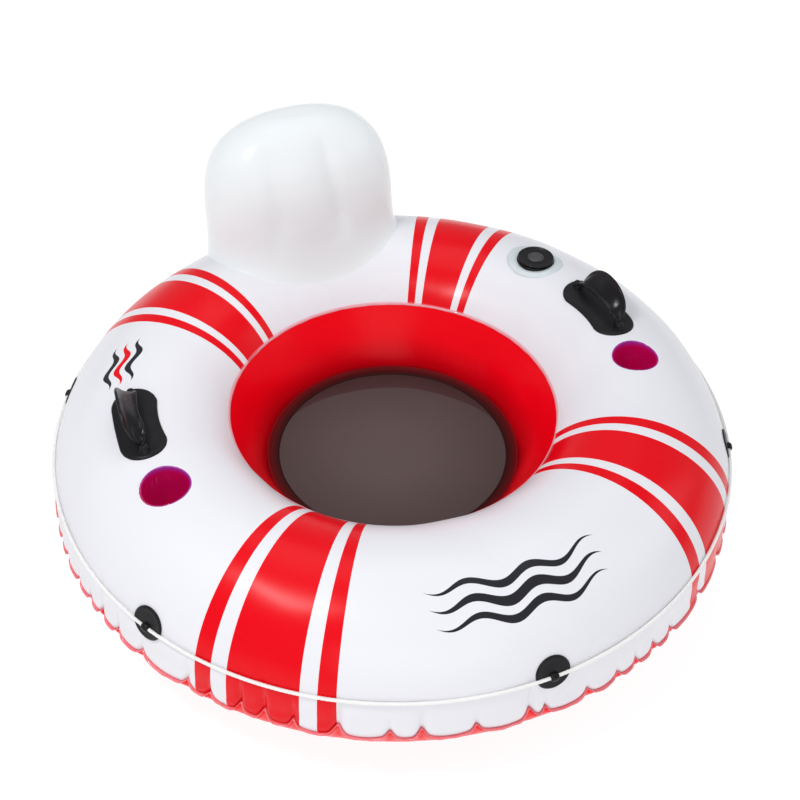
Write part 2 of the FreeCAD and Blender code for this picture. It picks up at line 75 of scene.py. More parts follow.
# ---- sizes ----
TOP_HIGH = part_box("top_skin")[1]
HALF_WIDTH = 0.169                       # ring cross-section
HALF_HEIGHT = 0.163
SECTION_RADIUS = TOP_HIGH[0] - HALF_WIDTH
MID = TOP_HIGH[2] - HALF_HEIGHT
INNER_SEAM = 146.9
OUTER_SEAM = -10.6
REST_HALF_WIDTH = 0.015
MESH_RADIUS = 0.229
MESH_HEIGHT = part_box("mesh_floor")[1][2]
SEAT_RADIUS = 0.2095
SEAT_SAG = 0.010
ROPE_SECTION = 16.0
ROPE_RADIUS = 0.003
ROPE_LIFT = 0.0033
HANDLE_PLACES = {"left": (84.5, 85.6), "right": (-85.8, 92.8)}      # around, section
VALVE_AROUND = -61.7
VALVE_SECTION = 89.0
CUP_PLACES = {"left": (104.2, 0.452), "right": (-105.3, 0.431)}     # around, distance from the axis
CUP_RADIUS = 0.040
CUP_DEPTH = 0.095
NECK_RADIUS = 0.029                      # of the main valve, where it goes through the skin
BACK_CENTRE = 0.471


# ---- mesh helpers ----
def make_object(name, verts, faces, material, smooth=True):
    mesh = bpy.data.meshes.new(name)
    mesh.from_pydata([tuple(v) for v in verts], [], faces)
    mesh.validate()
    mesh.update()
    obj = bpy.data.objects.new(name, mesh)
    bpy.context.scene.collection.objects.link(obj)
    mesh.materials.append(material)
    if smooth:
        mesh.shade_smooth()
    return obj


def grid_faces(rows, cols, wrap_cols=False, wrap_rows=False, start=0):
    """Quads of a grid of points stored row by row."""
    faces = []
    for i in range(rows if wrap_rows else rows - 1):
        for j in range(cols if wrap_cols else cols - 1):
            a = start + i * cols + j
            b = start + i * cols + (j + 1) % cols
            c = start + ((i + 1) % rows) * cols + (j + 1) % cols
            d = start + ((i + 1) % rows) * cols + j
            faces.append((a, b, c, d))
    return faces


def row_face(row, cols):
    """One face over a whole row of a grid."""
    return tuple(range(row * cols, (row + 1) * cols))


def turns(count):
    """Angles once round."""
    return [2 * math.pi * k / count for k in range(count)]


def ring_of(radius, z, segments):
    return [Vector((radius * math.cos(a), radius * math.sin(a), z)) for a in turns(segments)]


def lathe(profile, segments=64, close_ends=True):
    """Verts and faces of a profile of (radius, height) turned about local z."""
    verts = [vert for radius, z in profile for vert in ring_of(radius, z, segments)]
    faces = grid_faces(len(profile), segments, wrap_cols=True)
    if close_ends:
        faces += [row_face(0, segments)[::-1], row_face(len(profile) - 1, segments)]
    return verts, faces


def lathe_ring(profile, segments):
    """The same for a closed profile: a ring-shaped solid."""
    return lathe(profile, segments, close_ends=False)[0], grid_faces(len(profile), segments, True, True)


def flipped(faces):
    return [tuple(reversed(face)) for face in faces]


def disc_faces(rings, segments):
    """Faces of a middle point with rings around it, the smallest ring first."""
    fan = [(0, 1 + k, 1 + (k + 1) % segments) for k in range(segments)]
    return fan + flipped(grid_faces(rings, segments, wrap_cols=True, start=1))


def joined(parts):
    """Verts and faces of several (verts, faces) pairs put together."""
    verts = []
    faces = []
    for part_verts, part_faces in parts:
        base = len(verts)
        verts += list(part_verts)
        faces += [tuple(base + i for i in f) for f in part_faces]
    return verts, faces


def moved(part, matrix):
    verts, faces = part
    return [matrix @ Vector(v) for v in verts], faces


def cubic(a, slope_a, b, slope_b, t):
    """Point at t on the cubic from a to b with the given slopes."""
    return (a * (2 * t ** 3 - 3 * t ** 2 + 1) + slope_a * (t ** 3 - 2 * t ** 2 + t)
            + b * (-2 * t ** 3 + 3 * t ** 2) + slope_b * (t ** 3 - t ** 2))


def smoothstep(low, high, value):
    t = min(1.0, max(0.0, (value - low) / (high - low)))
    return t * t * (3 - 2 * t)


# ---- the ring's surface ----
def spot(around, radius):
    """x and y at an angle and a distance from the ring's axis."""
    a = math.radians(around)
    return -math.sin(a) * radius, math.cos(a) * radius


def section_normal(section):
    a = math.radians(section)
    r = math.cos(a) / HALF_WIDTH
    z = math.sin(a) / HALF_HEIGHT
    length = math.hypot(r, z)
    return r / length, z / length


def section_point(section, lift=0.0):
    """Radius and height of the ring's cross-section."""
    a = math.radians(section)
    nr, nz = section_normal(section)
    return (SECTION_RADIUS + HALF_WIDTH * math.cos(a) + nr * lift,
            MID + HALF_HEIGHT * math.sin(a) + nz * lift)


def on_ring(around, section, lift=0.0):
    r, z = section_point(section, lift)
    return Vector((*spot(around, r), z))


def station(around, section, lift=0.0):
    """Matrix at a station: x along the ring, y outwards from the rider, z out of the skin."""
    nr, nz = section_normal(section)
    radial = Vector((*spot(around, 1.0), 0))
    normal = radial * nr + Vector((0, 0, nz))
    outward = radial * nz - Vector((0, 0, nr))
    along = outward.cross(normal)
    matrix = Matrix((along, outward, normal)).transposed().to_4x4()
    matrix.translation = on_ring(around, section, lift)
    return matrix


def wrap(matrix, u, v, height):
    """A point given in a station's plane, laid on the ring's skin at a height above it."""
    p = matrix @ Vector((u, v, 0))
    r = math.hypot(p.x, p.y)
    around = math.degrees(math.atan2(-p.x, p.y))
    section = math.degrees(math.atan2((p.z - MID) / HALF_HEIGHT, (r - SECTION_RADIUS) / HALF_WIDTH))
    return on_ring(around, section, height)


def ring_height(x, y):
    """Height of the ring's top over a floor position."""
    gap = (math.hypot(x, y) - SECTION_RADIUS) / HALF_WIDTH
    return MID + HALF_HEIGHT * math.sqrt(max(0.0, 1 - gap * gap))


# ---- puckers along the outer seam ----
def make_puckers():
    """Where the sheet gathers along the outer seam: (around in degrees, depth, half width, reach, rise)."""
    puckers = []
    around = -180.0
    while around < 178.0:
        size = random.random()
        puckers.append((around, 0.0042 + 0.0044 * size, 0.0048 + 0.0036 * random.random(),
                        0.020 + 0.030 * size, 2.2 + 2.8 * size))
        around += 3.6 + 5.6 * random.random()
    return puckers


PUCKERS = make_puckers()


def nearest_puckers(around):
    """(signed distance in metres along the seam, pucker) of the puckers close to an angle."""
    near = []
    for pucker in PUCKERS:
        delta = (around - pucker[0] + 180.0) % 360.0 - 180.0
        if abs(delta) < 9.0:
            near.append((math.radians(delta) * TOP_HIGH[0], pucker))
    return near


def seam_lobe(near):
    """1 half way between two puckers, 0 at a pucker; smaller where they are close together."""
    left = min([-d for d, _ in near if d <= 0] or [0.05])
    right = min([d for d, _ in near if d > 0] or [0.05])
    span = max(left + right, 0.001)
    return 4 * (left * right) / (span * span) * min(1.0, span / 0.06)


def seam_shift(near):
    """How far the outer seam is pulled up (degrees of section), with slack lobes between the puckers."""
    notch = 0.0
    for distance, (_, _, width, _, rise) in near:
        notch = max(notch, rise * max(0.0, 1.0 - abs(distance) / (width * 1.9)) ** 1.1)
    return notch - 2.4 * seam_lobe(near)


def pucker_depth(near, from_seam):
    """Inward displacement of the skin at a distance from the seam, measured along the section."""
    depth = 0.0
    for distance, (_, deep, width, reach, _) in near:
        across = math.exp(-(distance / width) ** 2)
        depth += deep * across * math.exp(-(from_seam / reach) ** 2)
    return depth - 0.0042 * seam_lobe(near) * math.exp(-(from_seam / 0.030) ** 2)


COLUMNS = 1440
COLUMN_DATA = []
for column in range(COLUMNS):
    column_around = 360.0 * column / COLUMNS - 180.0
    column_near = nearest_puckers(column_around)
    COLUMN_DATA.append((column_around, column_near, OUTER_SEAM + seam_shift(column_near)))
DEGREE = math.radians(1.0) * HALF_WIDTH    # length of one degree of section


def slow_wave(around, section):
    """Slight unevenness of an inflated sheet."""
    a = math.radians(around)
    s = math.radians(section)
    return (0.0007 * math.sin(5 * a + 2 * s) + 0.0005 * math.sin(11 * a - 3 * s + 1.3)
            + 0.0004 * math.sin(17 * a + 5 * s + 0.4))


def ring_grid(rows, point):
    """Verts of a ring of ROWS x COLUMNS; point(row, around, near, seam) gives radius and height."""
    verts = []
    for row in range(rows):
        for around, near, seam in COLUMN_DATA:
            r, z = point(row, around, near, seam)
            verts.append((*spot(around, r), z))
    return verts


def towards_seam(start, seam, t):
    """Section angle between a start and the outer seam; the steps get smaller towards the seam."""
    return start + (seam - start) * (1 - (1 - t) ** 1.35)


def seam_bulge(from_seam):
    """Roll of the sheet beside the outer seam."""
    return 0.0022 * math.exp(-((from_seam - 0.012) / 0.012) ** 2)


# ---- node materials ----
class Nodes:
    """Small helper that builds a node material around one Principled shader."""

    def __init__(self, name):
        self.material = bpy.data.materials.new(name)
        self.material.use_nodes = True
        self.tree = self.material.node_tree
        self.shader = self.tree.nodes["Principled BSDF"]
        self.coords = self.add("ShaderNodeTexCoord")

    def add(self, kind, **values):
        node = self.tree.nodes.new(kind)
        for key, value in values.items():
            setattr(node, key, value)
        return node

    def link(self, a, b):
        self.tree.links.new(a, b)

    def set(self, **values):
        names = {"rough": "Roughness", "coat": "Coat Weight", "coat_rough": "Coat Roughness",
                 "sheen": "Sheen Weight", "transmission": "Transmission Weight",
                 "subsurface": "Subsurface Weight", "specular": "Specular IOR Level",
                 "glow": "Emission Strength", "glow_colour": "Emission Color"}
        for key, value in values.items():
            self.shader.inputs[names[key]].default_value = value

    def plug(self, node, index, value):
        if hasattr(value, "is_output"):
            self.link(value, node.inputs[index])
        else:
            node.inputs[index].default_value = value

    def math(self, operation, a, b=0.0):
        node = self.add("ShaderNodeMath", operation=operation)
        self.plug(node, 0, a)
        self.plug(node, 1, b)
        return node.outputs[0]

    def band(self, value, low, high, soft):
        """1 where low < value < high, with soft edges."""
        rise = self.add("ShaderNodeMapRange", interpolation_type="SMOOTHSTEP")
        fall = self.add("ShaderNodeMapRange", interpolation_type="SMOOTHSTEP")
        for node, edge in ((rise, low), (fall, high)):
            self.link(value, node.inputs["Value"])
            node.inputs["From Min"].default_value = edge - soft
            node.inputs["From Max"].default_value = edge + soft
        return self.math("SUBTRACT", rise.outputs[0], fall.outputs[0])

    def noise(self, scale, detail, rough=0.5):
        node = self.add("ShaderNodeTexNoise")
        node.inputs["Scale"].default_value = scale
        node.inputs["Detail"].default_value = detail
        node.inputs["Roughness"].default_value = rough
        self.link(self.coords.outputs["Object"], node.inputs["Vector"])
        return node.outputs["Fac"]

    def mix(self, factor, a, b):
        node = self.add("ShaderNodeMix", data_type="RGBA")
        self.plug(node, 0, factor)
        for index, value in ((6, a), (7, b)):
            if isinstance(value, tuple):
                value = (*value, 1.0)
            self.plug(node, index, value)
        return node.outputs[2]

    def ramp(self, value, low, high, to_low, to_high):
        node = self.add("ShaderNodeMapRange")
        self.link(value, node.inputs["Value"])
        for key, number in (("From Min", low), ("From Max", high), ("To Min", to_low), ("To Max", to_high)):
            node.inputs[key].default_value = number
        return node.outputs[0]

    def bump(self, height, strength, distance):
        node = self.add("ShaderNodeBump")
        node.inputs["Strength"].default_value = strength
        node.inputs["Distance"].default_value = distance
        self.link(height, node.inputs["Height"])
        previous = self.shader.inputs["Normal"].links
        if previous:
            self.link(previous[0].from_socket, node.inputs["Normal"])
        self.link(node.outputs["Normal"], self.shader.inputs["Normal"])

    def base(self, socket):
        self.link(socket, self.shader.inputs["Base Color"])

    def rough(self, socket):
        self.link(socket, self.shader.inputs["Roughness"])

    def xyz(self):
        """The place on the object: x, y, z and the distance from the ring's axis."""
        node = self.add("ShaderNodeSeparateXYZ")
        self.link(self.coords.outputs["Object"], node.inputs[0])
        x, y, z = node.outputs
        squares = self.math("ADD", self.math("MULTIPLY", x, x), self.math("MULTIPLY", y, y))
        return x, y, z, self.math("SQRT", squares)


WHITE = (0.80, 0.80, 0.835)
RED = (0.78, 0.0004, 0.007)
DARK_PRINT = (0.022, 0.022, 0.026)
STRIPES_AROUND = (39.0, 138.2)           # middles of the rear and front stripe groups
WIDE_STRIPE = (-1.0, 5.64)               # degrees from a group's middle
NARROW_STRIPE = (8.25, 11.0)
STRIPE_BLUR = 0.03
FRONT_WAVE_SPAN = (-0.004, 0.150)        # middle and half length
FRONT_WAVES = ((55.0, 2.5), (64.5, 3.1), (74.0, 2.5))      # section, width in degrees
SIDE_WAVE_SPAN = (0.205, 0.056)
SIDE_WAVES = ((68.0, DARK_PRINT), (74.5, RED), (81.0, DARK_PRINT))
YARN_PITCH = 0.0022


def sheet_finish(nodes):
    """Gloss and faint unevenness of calendered PVC sheet."""
    nodes.set(specular=0.16)
    nodes.rough(nodes.ramp(nodes.noise(5.0, 0.0), 0.0, 1.0, 0.22, 0.30))
    nodes.bump(nodes.noise(14.0, 2.0), 0.10, 0.004)
    nodes.bump(nodes.noise(900.0, 2.0), 0.04, 0.0003)


def wave_print(nodes, axis, section, middle, half_length, centre, amplitude, pitch, width):
    """One printed wave line: section angle follows a sine along the given axis."""
    along = nodes.math("SUBTRACT", axis, middle)
    sine = nodes.math("SINE", nodes.math("MULTIPLY", along, 2 * math.pi / pitch))
    wave = nodes.math("ADD", nodes.math("MULTIPLY", sine, amplitude), centre)
    offset = nodes.math("ABSOLUTE", nodes.math("SUBTRACT", section, wave))
    share = nodes.math("DIVIDE", along, half_length)
    taper = nodes.math("SUBTRACT", 1.0, nodes.math("MULTIPLY", share, share))
    edge = nodes.math("MULTIPLY", nodes.math("MAXIMUM", taper, 0.0), width)
    return nodes.band(nodes.math("SUBTRACT", edge, offset), 0.22, 90.0, 0.10)


def white_pvc():
    """White sheet with the printed red stripe groups and a plain wave print at the front and left side."""
    nodes = Nodes("white_pvc_printed")
    x, y, z, radius = nodes.xyz()
    around = nodes.math("MULTIPLY", nodes.math("ARCTAN2", nodes.math("ABSOLUTE", x), y), 180 / math.pi)
    height = nodes.math("DIVIDE", nodes.math("SUBTRACT", z, MID), HALF_HEIGHT)
    reach = nodes.math("DIVIDE", nodes.math("SUBTRACT", radius, SECTION_RADIUS), HALF_WIDTH)
    section = nodes.math("MULTIPLY", nodes.math("ARCTAN2", height, reach), 180 / math.pi)
    gaps = [nodes.math("ABSOLUTE", nodes.math("SUBTRACT", around, middle)) for middle in STRIPES_AROUND]
    near = nodes.math("MINIMUM", *gaps)
    wide, narrow = [nodes.band(near, *edges, STRIPE_BLUR) for edges in (WIDE_STRIPE, NARROW_STRIPE)]
    colour = nodes.mix(nodes.math("ADD", wide, narrow), WHITE, RED)
    front_half = nodes.band(y, -5.0, 0.0, 0.001)
    waves = None
    for centre, width in FRONT_WAVES:
        wave = wave_print(nodes, x, section, *FRONT_WAVE_SPAN, centre, 2.8, 0.10, width)
        waves = wave if waves is None else nodes.math("MAXIMUM", waves, wave)
    colour = nodes.mix(nodes.math("MULTIPLY", waves, front_half), colour, DARK_PRINT)
    left_half = nodes.band(x, -5.0, 0.0, 0.001)
    outer_half = nodes.math("MULTIPLY", nodes.band(section, 40.0, 92.0, 0.1), left_half)
    for centre, tint in SIDE_WAVES:
        wave = wave_print(nodes, y, section, *SIDE_WAVE_SPAN, centre, 2.0, 0.06, 2.2)
        colour = nodes.mix(nodes.math("MULTIPLY", wave, outer_half), colour, tint)
    lap = nodes.band(section, INNER_SEAM - 1.4, 175.0, 0.5)
    nodes.base(nodes.mix(nodes.math("MULTIPLY", lap, 0.55), colour, (0.9, 0.25, 0.3)))
    sheet_finish(nodes)
    return nodes.material


def red_pvc():
    """Red sheet, with painted shade that darkens it towards the foot of the well, where little light reaches
    it.
    """
    nodes = Nodes("red_pvc")
    _, _, z, radius = nodes.xyz()
    # painted shade: the inner wall darkens to deep red towards the mesh
    low = nodes.ramp(z, MESH_HEIGHT, MESH_HEIGHT + 0.055, 0.66, 0.0)
    inner = nodes.band(radius, -1.0, SECTION_RADIUS, 0.01)
    nodes.base(nodes.mix(nodes.math("MULTIPLY", low, inner), (0.88, 0.0004, 0.008), (0.22, 0.0001, 0.003)))
    sheet_finish(nodes)
    nodes.set(specular=0.09)
    return nodes.material


def backrest_pvc():
    """White sheet; the faint glow is painted light, standing for daylight that comes through the thin
    cushion.
    """
    nodes = Nodes("backrest_white_pvc")
    nodes.base(nodes.mix(nodes.noise(9.0, 2.0), (0.60, 0.62, 0.63), (0.58, 0.605, 0.62)))
    # painted light: a cool white glow that lifts and flattens the cushion's shading
    nodes.set(glow_colour=(0.95, 0.99, 1.0, 1.0), glow=0.23)
    sheet_finish(nodes)
    return nodes.material


def mottled(name, grain, tones, bump, gloss=None, **values):
    """Two close tones mixed by noise, with a fine bump, and a gloss that varies where it is given."""
    nodes = Nodes(name)
    nodes.base(nodes.mix(nodes.noise(*grain), *tones))
    if gloss:
        scale, detail, low, high = gloss
        nodes.rough(nodes.ramp(nodes.noise(scale, detail), 0.3, 0.7, low, high))
    nodes.set(**values)
    noise, strength, distance = bump
    nodes.bump(nodes.noise(*noise), strength, distance)
    return nodes.material


def black_rubber(name, shine):
    """Moulded black PVC with a fine matt grain and slightly worn high spots."""
    return mottled(name, (35.0, 3.0), ((0.006, 0.0055, 0.0065), (0.012, 0.011, 0.013)),
                   ((1600.0, 3.0, 0.6), 0.25, 0.0002), (60.0, 4.0, shine - 0.06, shine + 0.08),
                   specular=0.20)


def cup_pvc():
    """Tinted see-through sleeve: purple at the rim, crimson below; the glow is painted light, standing for
    light through it.
    """
    nodes = Nodes("tinted_cup_pvc")
    z = nodes.xyz()[2]
    depth = nodes.ramp(z, TOP_HIGH[2] - 0.012, TOP_HIGH[2] + 0.001, 0.0, 1.0)
    cloud = nodes.mix(nodes.noise(22.0, 2.0), (0.42, 0.0012, 0.055), (0.34, 0.0010, 0.070))
    tint = nodes.mix(depth, cloud, (0.22, 0.02, 0.26))
    nodes.base(tint)
    # painted light: the sleeve glows in its own tint
    nodes.link(tint, nodes.shader.inputs["Emission Color"])
    nodes.set(glow=0.34, rough=0.14, coat=0.5, coat_rough=0.06)
    nodes.bump(nodes.noise(60.0, 2.0), 0.12, 0.001)
    return nodes.material


def seat_mesh():
    """Knitted mesh: dark yarn with small open holes, so the light below glows through a little; painted
    shade darkens the yarn to dark red towards the edge.
    """
    nodes = Nodes("dark_seat_mesh")
    x, y, _, reach = nodes.xyz()
    pitch = 2 * math.pi / YARN_PITCH / math.sqrt(2)
    warp = nodes.math("SINE", nodes.math("MULTIPLY", nodes.math("ADD", x, y), pitch))
    weft = nodes.math("SINE", nodes.math("MULTIPLY", nodes.math("SUBTRACT", x, y), pitch))
    weave = nodes.math("MULTIPLY", warp, weft)
    hole = nodes.math("MULTIPLY", nodes.band(weave, 0.50, 2.0, 0.12), 0.16)
    yarn = nodes.mix(nodes.noise(6.0, 2.0), (0.078, 0.050, 0.046), (0.062, 0.039, 0.036))
    # painted shade: the yarn darkens to dark red towards the edge of the seat, under the ring
    nodes.base(nodes.mix(nodes.ramp(reach, 0.06, 0.215, 0.0, 0.9), yarn, (0.026, 0.004, 0.004)))
    nodes.link(nodes.math("SUBTRACT", 1.0, hole), nodes.shader.inputs["Alpha"])
    nodes.set(rough=0.6, sheen=0.15, specular=0.2)
    nodes.bump(weave, 0.5, 0.0006)
    return nodes.material


def border_pvc():
    """Strip round the mesh, red PVC darkened with painted shade: nearly black where it overlaps the mesh,
    dark red at the wall.
    """
    nodes = Nodes("mesh_border_strip")
    reach = nodes.xyz()[3]
    # painted shade: the strip's tones stand for red PVC in the shade of the ring
    outer = nodes.ramp(reach, SEAT_RADIUS, 0.2235, 0.0, 1.0)
    at_wall = nodes.ramp(reach, 0.2250, 0.2270, 0.0, 1.0)
    shade = nodes.mix(outer, (0.026, 0.002, 0.002), (0.10, 0.0004, 0.002))
    nodes.base(nodes.mix(at_wall, shade, (0.20, 0.0004, 0.003)))
    nodes.set(rough=0.38, specular=0.08)
    nodes.bump(nodes.noise(300.0, 3.0), 0.15, 0.0006)
    return nodes.material


MAT = {
    "white": white_pvc(), "red": red_pvc(), "back": backrest_pvc(), "cup": cup_pvc(), "mesh": seat_mesh(),
    "border": border_pvc(), "rubber": black_rubber("black_moulded_rubber", 0.42),
    "shiny": black_rubber("black_strap_edge", 0.22),
    "flange": mottled("seam_flange_pvc", (60.0, 3.0), ((0.95, 0.24, 0.28), (0.90, 0.12, 0.16)),
                      ((160.0, 3.0), 0.2, 0.001), rough=0.3, coat=0.2, subsurface=0.1),
    "lap": mottled("inner_lap_pvc", (60.0, 3.0), ((0.90, 0.42, 0.46), (0.86, 0.30, 0.35)),
                   ((120.0, 3.0), 0.15, 0.001), rough=0.3, coat=0.2, subsurface=0.15),
    "plastic": mottled("black_injection_plastic", (50.0, 2.0),
                       ((0.003, 0.003, 0.0035), (0.006, 0.006, 0.007)), ((700.0, 2.0), 0.06, 0.0002),
                       (90.0, 3.0, 0.22, 0.34), specular=0.3),
    "dome": mottled("grey_cap_dome", (80.0, 2.0), ((0.035, 0.036, 0.038), (0.055, 0.055, 0.058)),
                    ((900.0, 2.0), 0.08, 0.0002), (90.0, 3.0, 0.30, 0.42)),
    "clear": mottled("clear_bluish_pvc", (40.0, 2.0), ((0.76, 0.84, 0.86), (0.80, 0.88, 0.90)),
                     ((120.0, 2.0), 0.08, 0.0008), rough=0.16, coat=0.4, coat_rough=0.08, transmission=0.25),
    "rope": mottled("white_rope_fibre", (500.0, 4.0), ((0.82, 0.81, 0.78), (0.92, 0.92, 0.91)),
                    ((2600.0, 3.0), 0.5, 0.0003), rough=0.62, sheen=0.25),
}


def finish_piece(obj, body, slot, *nodes):
    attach(obj, body)
    if nodes:
        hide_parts(*nodes)


def repaint(name, material):
    """Gives a CAD node another material."""
    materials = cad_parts[name].data.materials
    materials.clear()
    materials.append(material)


# ---- ring skins ----
def top_point(rows):
    def point(row, around, near, seam):
        section = towards_seam(INNER_SEAM, seam, row / (rows - 1))
        from_seam = abs(section - seam) * DEGREE
        r, z = section_point(section, slow_wave(around, section) * smoothstep(0.0, 0.03, from_seam))
        return r - pucker_depth(near, from_seam) + seam_bulge(from_seam), z
    return point


def wall_points():
    """The red inner wall from the inner seam to the resting band."""
    return [section_point(INNER_SEAM), (0.255, MID + 0.035), (MESH_RADIUS, MID - 0.020),
            (0.237, MID - 0.062), (0.262, MID - 0.104), (0.305, MID - 0.138),
            (0.358, MID - 0.1565), (SECTION_RADIUS - REST_HALF_WIDTH, 0.0)]


def hermite(points, first, last, share):
    """Point on a smooth curve through the points; share runs from 0 to 1."""
    count = len(points) - 1
    index = min(int(share * count), count - 1)
    t = share * count - index

    def slope(i):
        if i == 0:
            return np.array(first)
        if i == count:
            return np.array(last)
        return (np.array(points[i + 1]) - np.array(points[i - 1])) / 2

    a = np.array(points[index])
    b = np.array(points[index + 1])
    return cubic(a, slope(index), b, slope(index + 1), t)


def bottom_point(wall_rows, arc_rows):
    steps = [i / (wall_rows - 1) for i in range(wall_rows)]
    wall = [hermite(wall_points(), (-0.035, -0.052), (0.055, 0.0), step) for step in steps]
    rest_angle = -math.degrees(math.acos(REST_HALF_WIDTH / HALF_WIDTH))

    def point(row, around, near, seam):
        if row < wall_rows:
            r, z = wall[row]
            swell = 0.0012 * math.sin(math.radians(around) * 9 + row * 0.35) * smoothstep(2, 8, row)
            swell *= smoothstep(wall_rows - 1, wall_rows - 10, row)
            return r - swell, z
        section = towards_seam(rest_angle, seam, (row - wall_rows) / (arc_rows - 1))
        from_seam = abs(section - seam) * DEGREE
        r, z = section_point(section)
        return r - pucker_depth(near, from_seam) + seam_bulge(from_seam), max(z, 0.0)
    return point


def build_ring():
    rows = 70
    top = make_object("ring_top_skin", ring_grid(rows, top_point(rows)),
                      grid_faces(rows, COLUMNS, wrap_cols=True), MAT["white"])
    finish_piece(top, "ring", "white_pvc", "top_skin")
    cut_holes(top)
    wall_rows, arc_rows = 44, 30
    rows = wall_rows + arc_rows
    bottom = make_object("ring_bottom_skin", ring_grid(rows, bottom_point(wall_rows, arc_rows)),
                         flipped(grid_faces(rows, COLUMNS, wrap_cols=True)), MAT["red"])
    finish_piece(bottom, "ring", "red_pvc", "bottom_skin")


def cut_holes(obj):
    """Takes out the faces over the cup holders and the valve and fits each hole's edge to its circle."""
    valve = on_ring(VALVE_AROUND, VALVE_SECTION)
    holes = [(valve.x, valve.y, NECK_RADIUS)]
    holes += [(*spot(around, distance), CUP_RADIUS) for around, distance in CUP_PLACES.values()]
    bm = bmesh.new()
    bm.from_mesh(obj.data)
    doomed = []
    for face in bm.faces:
        c = face.calc_center_median()
        if c.z > MID and any(math.hypot(c.x - x, c.y - y) < radius for x, y, radius in holes):
            doomed.append(face)
    bmesh.ops.delete(bm, geom=doomed, context="FACES")
    rim = {vert for edge in bm.edges if edge.is_boundary for vert in edge.verts if vert.co.z > MID + 0.1}
    for vert in rim:
        for x, y, radius in holes:
            gap = math.hypot(vert.co.x - x, vert.co.y - y)
            if gap < radius + 0.02:
                scale = (radius + 0.0004) / gap
                vert.co.x = x + (vert.co.x - x) * scale
                vert.co.y = y + (vert.co.y - y) * scale
                vert.co.z = ring_height(vert.co.x, vert.co.y)
    bm.to_mesh(obj.data)
    bm.free()


def build_outer_flange():
    """Thin welded flange that follows the gathered seam."""
    profile = [(-0.0015, 0.0007), (0.0045, 0.0008), (0.0062, 0.0), (0.0045, -0.0008), (-0.0015, -0.0007)]
    verts = []
    for out, up in profile:
        for around, near, seam in COLUMN_DATA:
            a = math.radians(around)
            ripple = 0.0008 * math.sin(a * 83) + 0.0006 * math.sin(a * 151)
            r, z = section_point(seam)
            r += out + 0.0009 - pucker_depth(near, 0.0)
            z += up + ripple * max(out, 0.0) / 0.006
            verts.append((*spot(around, r), z))
    faces = grid_faces(len(profile), COLUMNS, wrap_cols=True, wrap_rows=True)
    obj = make_object("outer_seam_flange", verts, faces, MAT["flange"])
    finish_piece(obj, "ring", "red_pvc", "outer_seam_weld")


def build_inner_lap():
    """Soft bead over the lap of white and red inside the ring."""
    columns, outline = 480, 10
    verts = []
    for b in turns(outline):
        for a in turns(columns):
            wobble = 0.075 * math.sin(a * 31) + 0.045 * math.sin(a * 57)
            section = INNER_SEAM + wobble + math.cos(b) * 0.75
            verts.append(on_ring(math.degrees(a), section, 0.0001 + 0.0007 * math.sin(b)))
    faces = grid_faces(outline, columns, wrap_cols=True, wrap_rows=True)
    obj = make_object("inner_seam_lap", verts, faces, MAT["lap"])
    finish_piece(obj, "ring", "red_pvc", "inner_seam_weld")


# ---- seat ----
def build_seat():
    rings, segments = 40, 120
    top = MESH_HEIGHT - 0.0006
    verts = [Vector((0, 0, top - SEAT_SAG))]
    for i in range(1, rings + 1):
        share = i / rings
        for a in turns(segments):
            ripple = 0.0006 * math.sin(14 * a) * share ** 4
            z = top - SEAT_SAG * (1 - share ** 2.2) + ripple * (1 - share)
            verts.append(Vector((SEAT_RADIUS * share * math.cos(a), SEAT_RADIUS * share * math.sin(a), z)))
    seat = make_object("mesh_seat", verts, disc_faces(rings, segments), MAT["mesh"])
    finish_piece(seat, "ring", "mesh", "mesh_floor")
    # A strip that rolls from the ridge of the inner wall down onto the mesh.
    profile = [(0.2310, 0.0026), (0.2290, 0.0036), (0.2268, 0.0032), (0.2250, 0.0014), (0.2160, 0.0006),
               (0.2080, 0.0004), (0.2068, -0.0002), (0.2068, -0.0024), (0.2160, -0.0022), (0.2290, -0.0012)]
    strip = lathe_ring([(r, MESH_HEIGHT + z) for r, z in profile], 360)
    border = make_object("mesh_border_strip", *strip, MAT["border"])
    finish_piece(border, "ring", "mesh_strip", "mesh_border")


# ---- rope and guides ----
KNOT_AROUND = 12.0
KNOT_HALF_ANGLE = 0.9


def rope_tube(path, radius, closed=False):
    """Laid rope along a list of points: a tube whose section has twisting strands."""
    strands, pitch, sides = 3, 0.021, 12
    verts = []
    count = len(path)
    travelled = 0.0
    for i, p in enumerate(path):
        ahead = path[(i + 1) % count] if closed or i + 1 < count else p
        behind = path[i - 1] if closed or i else p
        forward = (ahead - behind).normalized()
        side = forward.cross(Vector((0, 0, 1))).normalized()
        up = side.cross(forward)
        if i:
            travelled += (p - path[i - 1]).length
        turn = 2 * math.pi * travelled / pitch
        for b in turns(sides):
            bead = 0.90 + 0.10 * abs(math.cos(strands / 2 * (b - turn)))
            verts.append(p + (side * math.cos(b) + up * math.sin(b)) * radius * bead)
    faces = grid_faces(count, sides, wrap_cols=True, wrap_rows=closed)
    if not closed:
        faces += [row_face(0, sides), row_face(count - 1, sides)[::-1]]
    return verts, flipped(faces)


def build_rope():
    count = 2200
    start = KNOT_AROUND + KNOT_HALF_ANGLE
    step = (360.0 - 2 * KNOT_HALF_ANGLE) / (count - 1)
    path = [on_ring(start + step * i, ROPE_SECTION, ROPE_LIFT) for i in range(count)]
    rope = make_object("grab_rope_line", *rope_tube(path, ROPE_RADIUS), MAT["rope"])
    finish_piece(rope, "ring", "rope", "grab_rope")


